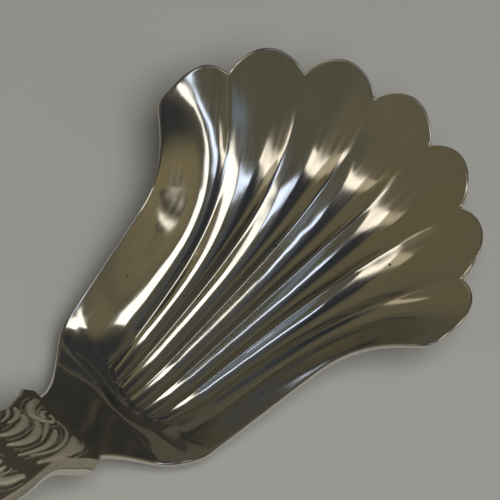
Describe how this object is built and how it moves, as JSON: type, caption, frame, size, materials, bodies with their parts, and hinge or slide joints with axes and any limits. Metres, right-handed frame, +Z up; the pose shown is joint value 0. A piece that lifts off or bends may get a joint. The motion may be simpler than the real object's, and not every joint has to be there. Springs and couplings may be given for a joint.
{
  "type": "caddy spoon",
  "caption": "Silver caddy spoon with a fluted scallop-shell bowl, a scalloped rim and a short filled handle with struck scroll ornament, for measuring tea leaves out of a caddy.",
  "frame": {"origin": "bottom centre of the bounding box, on the table the spoon lies on", "axes": "+X along the spoon towards the front rim of the bowl, +Y to its left, +Z up out of the bowl"},
  "size_m": [0.1087, 0.0462, 0.018],
  "materials": {
    "silver_polished": "polished silver with fine wear",
    "silver_struck": "die-struck silver, soft polish, dark in the recesses",
    "silver_raw": "unpolished silver",
    "silver_solder": "filed silver solder",
    "pitch_filler": "dull set pitch"
  },
  "bodies": {
    "root": {"bowl": "silver_polished", "handle_front": "silver_struck", "handle_back": "silver_polished", "handle_filler": "pitch_filler", "tang": "silver_raw", "seam_solder": "silver_solder", "solder_over": "silver_solder", "solder_under": "silver_solder"}
  },
  "joints": []
}
